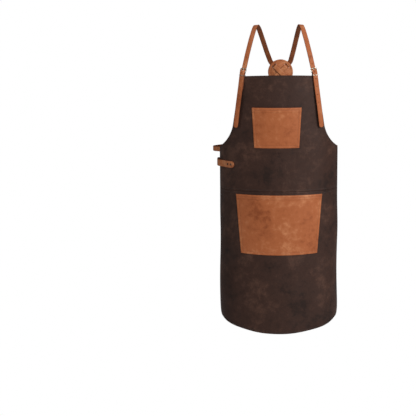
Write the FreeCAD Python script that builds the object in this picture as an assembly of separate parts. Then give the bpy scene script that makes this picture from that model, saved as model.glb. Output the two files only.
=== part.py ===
import FreeCAD, Part
import math
import os

# Leather butcher apron with cross-back straps, shaped as it hangs on a wearer.
# Millimetres. +Z up, the wearer faces -Y, left and right are as seen from the front.
# Origin: middle of the shoulders, at the underside of the straps on top of the shoulders.

V = FreeCAD.Vector
UP = V(0, 0, 1)

# --- The wearer's torso, a horizontal section of three tangent arcs -----------------
torso_half_width = 191.0      # at the inner face of the leather
front_radius = torso_half_width * 310 / 191     # the front is much flatter than the sides
front_angle = math.radians(24.0)
edge_angle = math.radians(85.0)

# --- Body panels. "Drop" is a height below the top edge of the bib ------------------
leather = 2.0
shoulder_rise = 156.0         # from the bib's top edge to the top of the shoulders
apron_length = 840.0
bib_half_width = 124.5        # widths are measured flat, along the leather
bib_arch = 3.0
armhole_lean = math.radians(10.3)    # of its upper run, from upright
armhole_radius = 92.0
armhole_exit = math.radians(22.0)    # of its lower run, from level
corner_drop = 241.0
seam_drop = 371.0
seam_lap = 12.0
seam_overlap = 6.0
seam_gap = 0.2
hem_radius = 580.0
hem_corner = 38.0

# --- Pockets, open at the top -------------------------------------------------------
pocket_wall = 2.0
bib_pocket_top = 159.0
bib_pocket_bottom = 144.0
bib_pocket_drops = (101.5, 230.0)
bib_pocket_shift = -6.0
bib_pocket_depth = 7.0
bib_pocket_sag = 0.5
hip_pocket_top = 286.0
hip_pocket_bottom = 252.5
hip_pocket_drops = (381.0, 574.0)
hip_pocket_shift = 1.5
hip_pocket_depth = 9.0
hip_pocket_sag = 3.8

# --- Shoulder straps ----------------------------------------------------------------
strap_width = 16.0
strap_thickness = 2.5
shoulder_half_span = 71.5
shoulder_depth = 6.0          # how far in front of the torso's middle the top lies
tail_drop = 168.0
tail_stand_off = 8.0
strap_turn_back = 2.08        # the strap turns this far before the end of the chape's fold
strap_hole = 3.5
strap_hole_pitch = 25.0
prong_slot_width = 4.0
prong_slot_run = 13.4
prong_slot_lead = 0.7         # how far the slot starts before the heel bar
end_drop = 247.5              # height at which the far ends are sewn to the waist corners
left_bulge = 25.0             # how far the strap stands out past the left waist corner
right_bulge = 1.0

# --- Round crossing piece on the back -----------------------------------------------
disc_diameter = 83.0
disc_thickness = 3.0
disc_rise = -2.0              # above the bib's top edge
disc_depth = 100.0
disc_shift = 6.5
slot_radius = 29.0
slot_length = 11.0
slot_side_gap = 0.75

# --- Chape, the folded tab that holds each buckle on the bib's corner ----------------
chape_place = 117.0           # flat distance from the middle of the bib
chape_tilt = math.radians(7.4)
chape_thickness = 1.8
chape_length = 46.0
heel_rise = 10.2
crew_slot = 4.6
rivet_drops = (13.0, 33.0)
rivet_head = 7.0
rivet_head_height = 1.2
rivet_post = 2.6

# --- Buckle, prong and keeper -------------------------------------------------------
buckle_wire = 2.4
buckle_lean = math.radians(12.0)
buckle_room = 10.52           # from the chape's fold to the middle of the top bar
buckle_corner = 3.0
prong_width = 3.0
prong_wall = 1.0
prong_root = 1.05
prong_tip = 0.8
prong_overhang = 1.4
keeper_wire = 1.6

# --- Towel loop on the left side ----------------------------------------------------
loop_width = 22.0
loop_thickness = 2.5
loop_drop = 287.0
loop_end_inset = 101.8        # flat distances in from the side edge
loop_rivet_insets = (89.3, 74.8)
loop_leave_inset = 49.3
loop_stand_off = 6.0
loop_rivet_head = 6.0
loop_rivet_post = 2.4

# --- Clearances ---------------------------------------------------------------------
lay_gap = 0.15                # between pieces of leather that lie on each other
pivot_clearance = 0.08        # radial, between a wire and what turns on it
strap_gap = 0.30              # around the straps where they pass another piece
rivet_clearance = 0.05
stud_clearance = 0.02         # behind the loop's studs, beyond what curved leather needs
bar_ease = 0.55               # more room behind the top bar, where the strap bends

# --- Worked-out places --------------------------------------------------------------
bib_top = -shoulder_rise
front_sine = math.sin(front_angle)
side_radius = (torso_half_width - front_radius * front_sine) / (1 - front_sine)
side_centre = (front_radius - side_radius) * front_sine
front_centre = (front_radius - side_radius) * math.cos(front_angle)
front_run = (front_radius + leather) * front_angle
edge_place = front_run + (side_radius + leather) * (edge_angle - front_angle)
loop_rivet_places = [edge_place - inset for inset in loop_rivet_insets]
rivet_seat = stud_clearance + loop_rivet_head ** 2 / 8 / side_radius
chape_reach = strap_width / 2 + chape_length / 2 * math.sin(chape_tilt)
bend = front_radius if chape_place + chape_reach < front_run else side_radius
chape_sag = chape_reach ** 2 / 2 / bend      # a flat chape behind the curved panel
fold_inner = max(buckle_wire / 2 + pivot_clearance, leather / 2 + lay_gap / 2 + chape_sag)
fold_outer = fold_inner + chape_thickness
buckle_reach = fold_outer + buckle_room
half_strap = strap_thickness / 2
keeper_half = strap_width / 2 + strap_gap + keeper_wire / 2
edge_slope = math.sin(chape_tilt) + 2 * bib_arch * chape_place / bib_half_width ** 2
keeper_rise = keeper_wire / 2 + strap_gap + keeper_half * edge_slope


# --- The section and the flat pattern -----------------------------------------------
def angle_at(place):
    """Section angle of a flat distance measured along the leather's outer face."""
    run = abs(place)
    if run <= front_run:
        angle = run / (front_radius + leather)
    else:
        angle = front_angle + (run - front_run) / (side_radius + leather)
    return math.copysign(angle, place)


def section_point(angle, offset, z=0.0):
    """A point at an offset outside the leather's inner face."""
    turn = abs(angle)
    if turn <= front_angle:
        x = (front_radius + offset) * math.sin(turn)
        y = front_centre - (front_radius + offset) * math.cos(turn)
    else:
        x = side_centre + (side_radius + offset) * math.sin(turn)
        y = -(side_radius + offset) * math.cos(turn)
    return V(math.copysign(x, angle), y, z)


def outward(angle):
    return V(math.sin(angle), -math.cos(angle), 0)


def section_band(inner, outer, low, high):
    """The leather between two offsets, from one side edge to the other."""
    def arcs(offset):
        stops = (-edge_angle, -front_angle, front_angle, edge_angle)
        edges = []
        for start, end in zip(stops, stops[1:]):
            three = [section_point(a, offset, low) for a in (start, (start + end) / 2, end)]
            edges.append(Part.Arc(*three).toShape())
        return edges
    ends = []
    for angle in (-edge_angle, edge_angle):
        pair = [section_point(angle, offset, low) for offset in (inner, outer)]
        ends.append(Part.makeLine(*pair))
    edges = Part.sortEdges(arcs(inner) + arcs(outer) + ends)[0]
    return Part.Face(Part.Wire(edges)).extrude(UP * (high - low))


def flat_edge(points):
    """A cutting edge through flat points (place, z), seen from the front."""
    front = -2 * front_radius
    spots = [V(section_point(angle_at(place), leather).x, front, z) for place, z in points]
    if len(spots) == 2:
        return Part.makeLine(*spots)
    curve = Part.BSplineCurve()
    curve.interpolate(spots)
    return curve.toShape()


def outline_prism(runs):
    """Everything behind a closed outline, given as runs of flat points."""
    edges = [flat_edge(run) for run in runs]
    wire = Part.Wire(Part.sortEdges(edges)[0])
    return Part.Face(wire).extrude(V(0, 4 * front_radius, 0))


def spread(start, end, count):
    return [start + (end - start) * i / count for i in range(count + 1)]


def top_edge_z(place):
    return bib_top - bib_arch * (place / bib_half_width) ** 2


def hem_z(place):
    return bib_top - apron_length + place ** 2 / (2 * hem_radius)


def armhole(side):
    """An upper run from the bib's corner, an arc, and a lower run to the waist corner."""
    corner = V(bib_half_width, top_edge_z(bib_half_width))
    waist = V(edge_place, bib_top - corner_drop)
    down = V(math.sin(armhole_lean), -math.cos(armhole_lean))
    out = V(math.cos(armhole_exit), -math.sin(armhole_exit))
    gap = waist - corner
    meet = corner + down * ((gap.x * out.y - gap.y * out.x) / (down.x * out.y - down.y * out.x))
    turn = down.getAngle(out)
    trim = min(armhole_radius * math.tan(turn / 2), 0.9 * (waist - meet).Length)
    radius = trim / math.tan(turn / 2)
    inward = (out - down * math.cos(turn)).normalize()
    start = meet - down * trim
    arc = []
    for angle in spread(0, turn, 12):
        swing = down * math.sin(angle) + inward * (1 - math.cos(angle))
        arc.append(start + swing * radius)
    runs = [[corner, arc[0]], arc, [arc[-1], waist]]
    return [[(side * spot.x, spot.y) for spot in run] for run in runs]


def bib_panel():
    seam = bib_top - seam_drop
    top = [(place, top_edge_z(place)) for place in spread(-bib_half_width, bib_half_width, 8)]
    runs = [top] + armhole(1) + armhole(-1)
    for side in (-1, 1):
        runs.append([(side * edge_place, bib_top - corner_drop), (side * edge_place, seam)])
    runs.append([(-edge_place, seam), (edge_place, seam)])
    main = section_band(0, leather, seam, 0).common(outline_prism(runs))
    lap = section_band(-leather, 0, seam - seam_lap, seam + seam_overlap)
    return main.fuse(lap).removeSplitter()


def skirt_panel():
    top = bib_top - seam_drop - seam_gap
    reach = edge_place - hem_corner
    rise = hem_z(edge_place) + hem_corner
    middle = [(place, hem_z(place)) for place in spread(-reach, reach, 16)]
    runs = [middle, [(-edge_place, top), (edge_place, top)]]
    for side in (-1, 1):
        corner = []
        for turn in spread(0, math.pi / 2, 8):
            along = reach + hem_corner * math.sin(turn)
            blend = hem_z(reach) + (rise - hem_z(reach)) * (1 - math.cos(turn))
            corner.append((side * along, blend))
        runs.append(corner)
        runs.append([(side * edge_place, rise), (side * edge_place, top)])
    low = bib_top - apron_length - hem_corner
    return section_band(0, leather, low, top + hem_corner).common(outline_prism(runs))


def pocket(top_width, bottom_width, drops, shift, depth, sag):
    """A tray of leather on the panel's face: a leaf, two side walls and a bottom."""
    high = bib_top - drops[0]
    low = bib_top - drops[1]

    def outline(wall, lift):
        slope = (top_width - bottom_width) / 2 / (high - low)
        half_top = top_width / 2 - wall + slope * lift
        half_bottom = bottom_width / 2 - wall
        floor = low + wall
        bottom = []
        for place in spread(-half_bottom, half_bottom, 8):
            bottom.append((place + shift, floor - sag * (1 - (place / half_bottom) ** 2)))
        left = (shift - half_top, high + lift)
        right = (shift + half_top, high + lift)
        return [bottom, [bottom[0], left], [left, right], [right, bottom[-1]]]

    outer = section_band(leather, leather + depth + pocket_wall, low - 50, high + 50)
    outer = outer.common(outline_prism(outline(0, 0)))
    inner = section_band(leather, leather + depth, low - 50, high + 50)
    inner = inner.common(outline_prism(outline(pocket_wall, 10)))
    return outer.cut(inner)


# --- Straps as ribbons along a rounded route ----------------------------------------
class Ribbon:
    """A flat strap along a route of points, each with a bend radius and a normal."""

    def __init__(self, route, width, thickness):
        points = [spot for spot, radius, normal in route]
        self.width = width
        self.thickness = thickness
        self.places = [points[0]]
        self.headings = [(points[1] - points[0]).normalize()]
        marks = [0]
        for i in range(1, len(points) - 1):
            self.bend(points[i - 1], points[i], points[i + 1], route[i][1])
            marks.append(len(self.places) - 1 - self.half_bend)
        self.places.append(points[-1])
        self.headings.append((points[-1] - points[-2]).normalize())
        marks.append(len(self.places) - 1)
        self.lengths = [0.0]
        for start, end in zip(self.places, self.places[1:]):
            self.lengths.append(self.lengths[-1] + (end - start).Length)
        self.marks = [self.lengths[mark] for mark in marks]
        self.hints = [normal for spot, radius, normal in route]

    def bend(self, before, corner, after, radius):
        """Rounds one corner of the route with an arc; no radius keeps the corner."""
        ahead = (corner - before).normalize()
        leaving = (after - corner).normalize()
        turn = ahead.getAngle(leaving)
        if radius == 0:
            self.half_bend = 0
            self.places.append(corner)
            self.headings.append((ahead + leaving).normalize())
            return
        room = 0.48 * min((corner - before).Length, (after - corner).Length)
        radius = min(radius, room / math.tan(turn / 2))
        across = (leaving - ahead * math.cos(turn)).normalize()
        start = corner - ahead * (radius * math.tan(turn / 2))
        centre = start + across * radius
        steps = 2 * max(1, math.ceil(math.degrees(turn) / 12))
        self.half_bend = steps // 2
        for angle in spread(0, turn, steps):
            spot = centre - across * (radius * math.cos(angle))
            self.places.append(spot + ahead * (radius * math.sin(angle)))
            self.headings.append(ahead * math.cos(angle) + across * math.sin(angle))

    def at(self, length):
        """Place, heading, normal and width direction at a length along the strap."""
        i = 0
        while i < len(self.lengths) - 2 and self.lengths[i + 1] < length:
            i += 1
        share = (length - self.lengths[i]) / (self.lengths[i + 1] - self.lengths[i])
        place = self.places[i] + (self.places[i + 1] - self.places[i]) * share
        heading = self.headings[i] * (1 - share) + self.headings[i + 1] * share
        heading.normalize()
        j = 0
        while j < len(self.marks) - 2 and self.marks[j + 1] < length:
            j += 1
        blend = (length - self.marks[j]) / (self.marks[j + 1] - self.marks[j])
        blend = min(1, max(0, blend))
        hint = self.hints[j] * (1 - blend) + self.hints[j + 1] * blend
        across = heading.cross(hint).normalize()
        return place, heading, across.cross(heading), across

    def solid(self, round_start=False, round_end=False):
        """The strap as one solid, its ends cut square or round."""
        full = self.lengths[-1]
        half = self.width / 2
        stations = [(length, half) for length in self.lengths]
        for rounded, end, step in ((round_start, 0, 1), (round_end, full, -1)):
            if not rounded:
                continue
            stations = [s for s in stations if abs(s[0] - end) > half * 1.02]
            for turn in spread(math.radians(12), math.pi / 2, 7):
                reach = half * (1 - math.cos(turn))
                stations.append((end + step * reach, half * math.sin(turn)))
        wires = []
        for length, side in sorted(stations):
            place, heading, normal, across = self.at(length)
            corners = []
            for u, v in ((-1, -1), (1, -1), (1, 1), (-1, 1)):
                corners.append(place + across * (u * side) + normal * (v * self.thickness / 2))
            wires.append(Part.makePolygon(corners + corners[:1]))
        return Part.makeLoft(wires, True, True)

    def punch(self, length, diameter, slot=0.0):
        """A cutter through the strap: round, or as long as slot along the strap."""
        place, heading, normal, across = self.at(length)
        depth = 2 * self.thickness
        cutter = None
        for offset in ((0,) if slot == 0 else (-slot / 2, slot / 2)):
            base = place + heading * offset - normal * depth
            pin = Part.makeCylinder(diameter / 2, 2 * depth, base, normal)
            cutter = pin if cutter is None else cutter.fuse(pin)
        if slot:
            corners = []
            for u, v in ((-1, -1), (1, -1), (1, 1), (-1, 1)):
                spot = place + heading * (u * slot / 2) + across * (v * diameter / 2)
                corners.append(spot - normal * depth)
            face = Part.Face(Part.makePolygon(corners + corners[:1]))
            cutter = cutter.fuse(face.extrude(normal * (2 * depth)))
        return cutter


class Corner:
    """Directions and places at one bib corner; side is -1 on the left, 1 on the right."""

    def __init__(self, side):
        drop = chape_length / 2
        angle = side * angle_at(chape_place + drop * math.sin(chape_tilt))
        self.side = side
        self.normal = outward(angle)
        level = V(math.cos(angle), math.sin(angle), 0)
        lean = -side * chape_tilt
        self.up = UP * math.cos(lean) + level * math.sin(lean)
        self.across = self.up.cross(self.normal) * -1
        height = top_edge_z(chape_place) - drop * math.cos(chape_tilt)
        self.root = section_point(angle, leather, height) + self.up * drop
        self.heel = self.spot(heel_rise, -leather / 2)
        cosine = math.cos(buckle_lean)
        sine = math.sin(buckle_lean)
        self.frame_up = self.up * cosine - self.normal * sine
        self.frame_out = self.normal * cosine + self.up * sine

    def spot(self, rise, out, along=0.0):
        return self.root + self.up * rise + self.normal * out + self.across * along

    def frame_spot(self, rise, out, along=0.0):
        place = self.heel + self.frame_up * rise + self.frame_out * out
        return place + self.across * along


def block(spot, low, high):
    """A block whose corners are given in a corner's own directions, by its spot()."""
    corners = []
    for along in (low[2], high[2]):
        for out in (low[1], high[1]):
            for rise in (low[0], high[0]):
                corners.append(spot(rise, out, along))
    base = [corners[i] for i in (0, 1, 3, 2, 0)]
    return Part.Face(Part.makePolygon(base)).extrude(corners[4] - corners[0])


def rod(start, end, radius):
    return Part.makeCylinder(radius, (end - start).Length, start, end - start)


def wire_loop(points, radii, wire):
    """A closed wire loop: straight rods joined by quarter rings."""
    count = len(points)
    ends = []
    pieces = []
    for i in range(count):
        ahead = (points[i] - points[i - 1]).normalize()
        leaving = (points[(i + 1) % count] - points[i]).normalize()
        turn = ahead.getAngle(leaving)
        trim = radii[i] * math.tan(turn / 2)
        start = points[i] - ahead * trim
        across = (leaving - ahead * math.cos(turn)).normalize()
        centre = start + across * radii[i]
        section = Part.Face(Part.Wire(Part.makeCircle(wire / 2, start, ahead)))
        axis = ahead.cross(across)
        pieces.append(section.revolve(centre, axis, math.degrees(turn)))
        ends.append((start, points[i] + leaving * trim))
    for i in range(count):
        pieces.append(rod(ends[i - 1][1], ends[i][0], wire / 2))
    return pieces[0].multiFuse(pieces[1:])


def mid_plane_out():
    return -leather / 2


def chape(corner):
    """Two legs down the front and the back of the bib, joined by a fold round the heel bar."""
    mid = mid_plane_out()
    half = strap_width / 2
    body = rod(corner.heel - corner.across * half, corner.heel + corner.across * half, fold_outer)
    body = body.cut(block(corner.spot, (-fold_outer, mid - 2 * fold_outer, -strap_width),
                          (heel_rise, mid + 2 * fold_outer, strap_width)))
    end_rise = -chape_length + half
    legs = []
    for direction in (-1, 1):
        near = mid + direction * fold_inner
        far = mid + direction * fold_outer
        outs = sorted((near, far))
        leg = block(corner.spot, (end_rise, outs[0], -half), (heel_rise, outs[1], half))
        tip = corner.spot(end_rise, outs[0])
        legs.append(leg.fuse(Part.makeCylinder(half, chape_thickness, tip, corner.normal)))
    body = body.multiFuse(legs)
    reach = corner.across * strap_width
    body = body.cut(rod(corner.heel - reach, corner.heel + reach, fold_inner))
    slot_low = (heel_rise - fold_outer - 1, mid - 2 * fold_outer, -crew_slot / 2)
    slot_high = (heel_rise + 2 * fold_outer, mid + 2 * fold_outer, crew_slot / 2)
    body = body.cut(block(corner.spot, slot_low, slot_high))
    body = body.cut(chape_rivet_holes(corner))
    return body.removeSplitter()


def chape_rivet_places(corner):
    return [corner.spot(-drop, 0) for drop in rivet_drops]


def chape_rivet_holes(corner):
    holes = []
    for place in chape_rivet_places(corner):
        start = place - corner.normal * 20
        holes.append(Part.makeCylinder(rivet_post / 2 + rivet_clearance, 40, start, corner.normal))
    return holes[0].fuse(holes[1])


def turned(place, axis, profile):
    """A turned solid: a closed profile of (radius, height) runs; three points make an arc."""
    edges = []
    for run in profile:
        spots = [V(radius, 0, height) for radius, height in run]
        edges.append(Part.Arc(*spots).toShape() if len(run) == 3 else Part.makeLine(*spots))
    body = Part.Face(Part.Wire(edges)).revolve(V(0, 0, 0), UP, 360)
    if body.Volume < 0:
        body.reverse()
    body.Placement = FreeCAD.Placement(place, FreeCAD.Rotation(UP, axis))
    return body


def rivet(place, normal, front, back, head, post):
    """Cap and stud of a two-piece rivet; front and back are the heights of the leather faces."""
    rim = rivet_head_height * 0.35
    crown = rivet_head_height - rim
    inner = post / 2
    outer = head / 2
    dome = (outer ** 2 + crown ** 2) / (2 * crown)
    shoulder = crown - dome + math.sqrt(dome ** 2 - (outer / 2) ** 2)
    socket = front + rivet_head_height / 2
    cap = turned(place, normal, (
        ((0, front + rim + crown), (outer / 2, front + rim + shoulder), (outer, front + rim)),
        ((outer, front + rim), (outer, front)),
        ((outer, front), (inner, front)),
        ((inner, front), (inner, socket)),
        ((inner, socket), (0, socket)),
        ((0, socket), (0, front + rim + crown)),
    ))
    stud = turned(place, normal, (
        ((0, back - rim - crown), (outer / 2, back - rim - shoulder), (outer, back - rim)),
        ((outer, back - rim), (outer, back)),
        ((outer, back), (inner, back)),
        ((inner, back), (inner, socket)),
        ((inner, socket), (0, socket)),
        ((0, socket), (0, back - rim - crown)),
    ))
    return cap, stud


def chape_rivets(corner):
    mid = mid_plane_out()
    pairs = []
    for place in chape_rivet_places(corner):
        pairs.append(rivet(place, corner.normal, mid + fold_outer, mid - fold_outer,
                           rivet_head, rivet_post))
    return [Part.makeCompound(list(solids)) for solids in zip(*pairs)]


def frame_half_width():
    return strap_width / 2 + strap_gap + buckle_wire / 2


def buckle_frame(corner):
    half = frame_half_width()
    points = [corner.frame_spot(0, 0, -half), corner.frame_spot(buckle_reach, 0, -half),
              corner.frame_spot(buckle_reach, 0, half), corner.frame_spot(0, 0, half)]
    tight = buckle_wire / 2 + 0.15
    return wire_loop(points, [tight, buckle_corner, buckle_corner, tight], buckle_wire)


def prong_ring():
    inner = buckle_wire / 2 + pivot_clearance
    return inner, inner + prong_wall


def buckle_prong(corner):
    """A ring on the heel bar and a tapering pin that rests on the top bar."""
    inner, outer = prong_ring()
    half = prong_width / 2
    low = corner.heel - corner.across * half
    high = corner.heel + corner.across * half
    rest = buckle_wire / 2 + lay_gap / 3 + prong_tip
    tip = corner.frame_spot(buckle_reach + prong_overhang, rest)
    root = corner.frame_spot(0.6 * outer, (inner + outer) / 2)
    axis = tip - root
    pin = Part.makeCone(prong_root, prong_tip, axis.Length, root, axis)
    pin = pin.fuse(Part.makeSphere(prong_tip, tip)).fuse(Part.makeSphere(prong_root, root))
    body = rod(low, high, outer).fuse(pin)
    reach = corner.across * strap_width
    return body.cut(rod(corner.heel - reach, corner.heel + reach, inner))


def keeper_outs():
    """Heights of the keeper's wire behind the chape and in front of the strap's tail."""
    back = mid_plane_out() - fold_outer - strap_gap - keeper_wire / 2
    front = tail_out(keeper_rise) + half_strap + strap_gap + keeper_wire / 2
    return back, front


def keeper(corner):
    back, front = keeper_outs()
    half = keeper_half
    points = [corner.spot(keeper_rise, back, -half), corner.spot(keeper_rise, front, -half),
              corner.spot(keeper_rise, front, half), corner.spot(keeper_rise, back, half)]
    return wire_loop(points, [keeper_wire] * 4, keeper_wire)


# --- Shoulder straps ----------------------------------------------------------------
def over_fold_out():
    return mid_plane_out() + fold_outer + strap_gap + half_strap + 0.5


def over_rivets_out():
    return mid_plane_out() + fold_outer + rivet_head_height + strap_gap + half_strap


def tail_out(rise):
    """How far the tail's middle stands in front of the bib, between heel bar and rivets."""
    share = (heel_rise - rise) / (heel_rise + rivet_drops[0] - rivet_head / 2)
    return over_fold_out() + (over_rivets_out() - over_fold_out()) * share


def between(start, end, shares):
    """Points from start to end; the shares are those of the way in x, y and z."""
    gap = end - start
    return [start + V(gap.x * a, gap.y * b, gap.z * c) for a, b, c in shares]


def disc_centre():
    return V(disc_shift, disc_depth, bib_top + disc_rise)


def disc_spot(diagonal, along, out):
    """A point on a diagonal of the disc; out is towards the wearer's front."""
    return disc_centre() + diagonal * along + V(0, -out, 0)


def strap_route(corner):
    """The left or right strap, from its tail to the opposite waist corner."""
    side = corner.side
    normal = corner.normal
    tail_end = -(tail_drop - bib_arch)
    top_shift = buckle_wire / 2 + strap_gap + half_strap + bar_ease
    behind_bar = corner.frame_spot(buckle_reach, -top_shift)
    past_bar = corner.frame_spot(buckle_reach + 9, -top_shift - 1.2)
    rivet_rise = -rivet_drops[0] + rivet_head / 2
    route = [
        (corner.spot(tail_end, tail_stand_off - 0.5), 0, normal),
        (corner.spot(tail_end * 0.6, tail_stand_off), 400, normal),
        (corner.spot(rivet_rise - 28, over_rivets_out() + 0.4), 150, normal),
        (corner.spot(rivet_rise, over_rivets_out()), 60, normal),
        (corner.spot(heel_rise + fold_outer - strap_turn_back, over_fold_out()), 7, normal),
        (behind_bar, 8, corner.frame_out),
        (past_bar, 12, corner.frame_out),
    ]
    shoulder = V(side * shoulder_half_span, -shoulder_depth, half_strap)
    rising = between(past_bar, shoulder, ((.22, .12, .27), (.53, .36, .61), (.81, .68, .88)))
    leans = (V(side * .30, -.90, .30), V(side * .25, -.80, .55), V(side * .18, -.50, .85))
    for spot, lean in zip(rising, leans):
        route.append((spot, 90, lean))
    route.append((shoulder, 45, V(side * .10, 0, 1)))

    diagonal = V(side * math.sqrt(.5), 0, math.sqrt(.5))
    on_face = disc_thickness / 2 + strap_gap + half_strap
    over = on_face + strap_thickness + strap_gap if side < 0 else on_face
    rim = disc_diameter / 2 + 5
    entry = disc_spot(diagonal, rim, -on_face)
    falling = between(shoulder, entry, ((.16, .33, .10), (.41, .65, .38), (.72, .89, .73)))
    leans = (V(side * .10, .40, .90), V(side * .10, .80, .55), V(0, 1, .25))
    for spot, lean in zip(falling, leans):
        route.append((spot, 70, lean))
    back = V(0, 1, 0)
    dive = 4.2
    ease = strap_width / 2 + 2.5
    weave = ((rim, -on_face, 20), (slot_radius + dive, -on_face, 5),
             (slot_radius - dive, on_face, 5), (ease + 5, on_face, 8), (ease, over, 8),
             (-ease, over, 8), (-ease - 5, on_face, 8), (-slot_radius + dive, on_face, 5),
             (-slot_radius - dive, -on_face, 5), (-rim, -on_face, 20))
    for along, out, radius in weave:
        if over == on_face and abs(along) <= ease + 5:
            continue
        route.append((disc_spot(diagonal, along, out), radius, back))

    # The far half runs down the back and round to the inner face of the waist corner.
    far = -side
    bulge = left_bulge if far < 0 else right_bulge
    level = bib_top - end_drop
    seat = -lay_gap - half_strap
    edge = section_point(far * edge_angle, seat, level)
    sewn_end = section_point(far * (edge_angle - math.radians(15)), seat, level)
    sewn_mid = section_point(far * (edge_angle - math.radians(6)), seat, level)
    for share, behind, fall in ((.38, 4, .30), (.56, -4, .62), (.68, -12, .88)):
        spot = V(far * share * torso_half_width, disc_depth + behind, bib_top - fall * end_drop)
        route.append((spot, 120, V(far * share, 1.2 - share, 0)))
    round_side = ((.25 * bulge - 16, 58, 2, 40, .6), (bulge + 1, 36, 0, 18, .2),
                  (.86 * bulge + .5, 14, 0, 14, -.2))
    for past, y, rise, radius, lean in round_side:
        spot = V(far * (torso_half_width + past), y, level + rise)
        route.append((spot, radius, V(far, lean, 0)))
    route.append((edge + V(far * 0.4, 6, 0), 20, V(far, 0, 0)))
    route.append((sewn_mid, 100, outward(far * edge_angle)))
    route.append((sewn_end, 0, outward(far * (edge_angle - math.radians(15)))))
    return route


def shoulder_strap(corner):
    ribbon = Ribbon(strap_route(corner), strap_width, strap_thickness)
    body = ribbon.solid(round_start=True)
    heel_length = nearest_length(ribbon, corner.spot(heel_rise, over_fold_out()))
    middle = heel_length - prong_slot_lead + prong_slot_run / 2
    body = body.cut(ribbon.punch(middle, prong_slot_width, prong_slot_run - prong_slot_width))
    first = middle - strap_hole_pitch
    for step in range(5):
        body = body.cut(ribbon.punch(first - step * strap_hole_pitch, strap_hole))
    for step in range(2):
        body = body.cut(ribbon.punch(middle + (step + 1) * strap_hole_pitch, strap_hole))
    return body, ribbon


def nearest_length(ribbon, target):
    steps = spread(0, ribbon.lengths[-1], 2000)
    return min(steps, key=lambda length: (ribbon.at(length)[0] - target).Length)


def back_disc():
    centre = disc_centre()
    body = Part.makeCylinder(disc_diameter / 2, disc_thickness,
                             centre - V(0, disc_thickness / 2, 0), V(0, 1, 0))
    across = strap_width + 2 * slot_side_gap
    for quarter in range(4):
        cutter = Part.makeBox(slot_length, 4 * disc_thickness, across)
        cutter.translate(V(slot_radius - slot_length / 2, -2 * disc_thickness, -across / 2))
        cutter.rotate(V(0, 0, 0), V(0, 1, 0), 45 + 90 * quarter)
        cutter.translate(centre)
        body = body.cut(cutter)
    return body


# --- Towel loop ---------------------------------------------------------------------
def towel_loop():
    """A strap riveted to the left side, looped round the panel's edge and back inside."""
    level = bib_top - loop_drop
    half = loop_thickness / 2
    outside = leather + lay_gap + half
    inside = -lay_gap - half
    route = []

    def follow(start, end, offset, count):
        for angle in spread(start, end, count):
            route.append((section_point(-angle, offset, level), 0, outward(-angle)))

    first = angle_at(edge_place - loop_end_inset)
    follow(first, angle_at(edge_place - loop_leave_inset), outside, 14)
    edge = section_point(-edge_angle, 0)
    reach = edge.x - leather - loop_stand_off - half
    outer_turn = edge.x - leather - loop_stand_off / 2
    route.append((V(outer_turn + 3, -44, level), 60, outward(-math.radians(70))))
    route.append((V(reach, -24, level), 60, V(-1, 0, 0)))
    inner_x = edge.x + lay_gap + half + 0.6
    turn = (inner_x - reach) / 2
    route.append((V(reach, 6 + turn, level), turn - 0.1, V(-.7, .7, 0)))
    route.append((V(inner_x, 6 + turn, level), turn - 0.1, V(.7, .7, 0)))
    outside_stops = len(route)
    follow(edge_angle, angle_at(loop_rivet_places[0] - 10), inside, 26)
    for i in range(outside_stops, len(route)):
        spot, radius, normal = route[i]
        route[i] = (spot, radius, normal * -1)
    body = Ribbon(route, loop_width, loop_thickness).solid(round_start=True)
    return body.cut(loop_rivet_holes())


def loop_rivet_frames():
    level = bib_top - loop_drop
    frames = []
    for place in loop_rivet_places:
        angle = -angle_at(place)
        frames.append((section_point(angle, 0, level), outward(angle)))
    return frames


def loop_rivet_holes():
    holes = []
    for place, normal in loop_rivet_frames():
        start = place - normal * 10
        holes.append(Part.makeCylinder(loop_rivet_post / 2 + rivet_clearance, 20, start, normal))
    return holes[0].fuse(holes[1])


def loop_rivets():
    front = leather + lay_gap + loop_thickness
    back = -lay_gap - loop_thickness - rivet_seat
    pairs = []
    for place, normal in loop_rivet_frames():
        pairs.append(rivet(place, normal, front, back, loop_rivet_head, loop_rivet_post))
    return [Part.makeCompound(list(solids)) for solids in zip(*pairs)]


def build():
    """Every piece by name."""
    corners = {"left": Corner(-1), "right": Corner(1)}
    bib = bib_panel().cut(loop_rivet_holes())
    pieces = {"skirt_panel": skirt_panel()}
    pieces["bib_pocket"] = pocket(bib_pocket_top, bib_pocket_bottom, bib_pocket_drops,
                                  bib_pocket_shift, bib_pocket_depth, bib_pocket_sag)
    pieces["hip_pocket"] = pocket(hip_pocket_top, hip_pocket_bottom, hip_pocket_drops,
                                  hip_pocket_shift, hip_pocket_depth, hip_pocket_sag)
    for name, corner in corners.items():
        bib = bib.cut(chape_rivet_holes(corner))
        pieces["shoulder_strap_" + name] = shoulder_strap(corner)[0]
        pieces["chape_" + name] = chape(corner)
        caps, studs = chape_rivets(corner)
        pieces["chape_rivet_caps_" + name] = caps
        pieces["chape_rivet_studs_" + name] = studs
        pieces["buckle_frame_" + name] = buckle_frame(corner)
        pieces["buckle_prong_" + name] = buckle_prong(corner)
        pieces["keeper_" + name] = keeper(corner)
    pieces["bib_panel"] = bib
    pieces["back_disc"] = back_disc()
    pieces["towel_loop"] = towel_loop()
    caps, studs = loop_rivets()
    pieces["towel_loop_rivet_caps"] = caps
    pieces["towel_loop_rivet_studs"] = studs
    return pieces


os.makedirs("parts", exist_ok=True)
pieces = build()
for name, shape in pieces.items():
    shape.exportStep("parts/" + name + ".step")
    print(name, "solids", len(shape.Solids), "volume", round(shape.Volume))
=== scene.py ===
import math
import bmesh
import bpy
import numpy as np
from mathutils import Matrix, Vector


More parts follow.
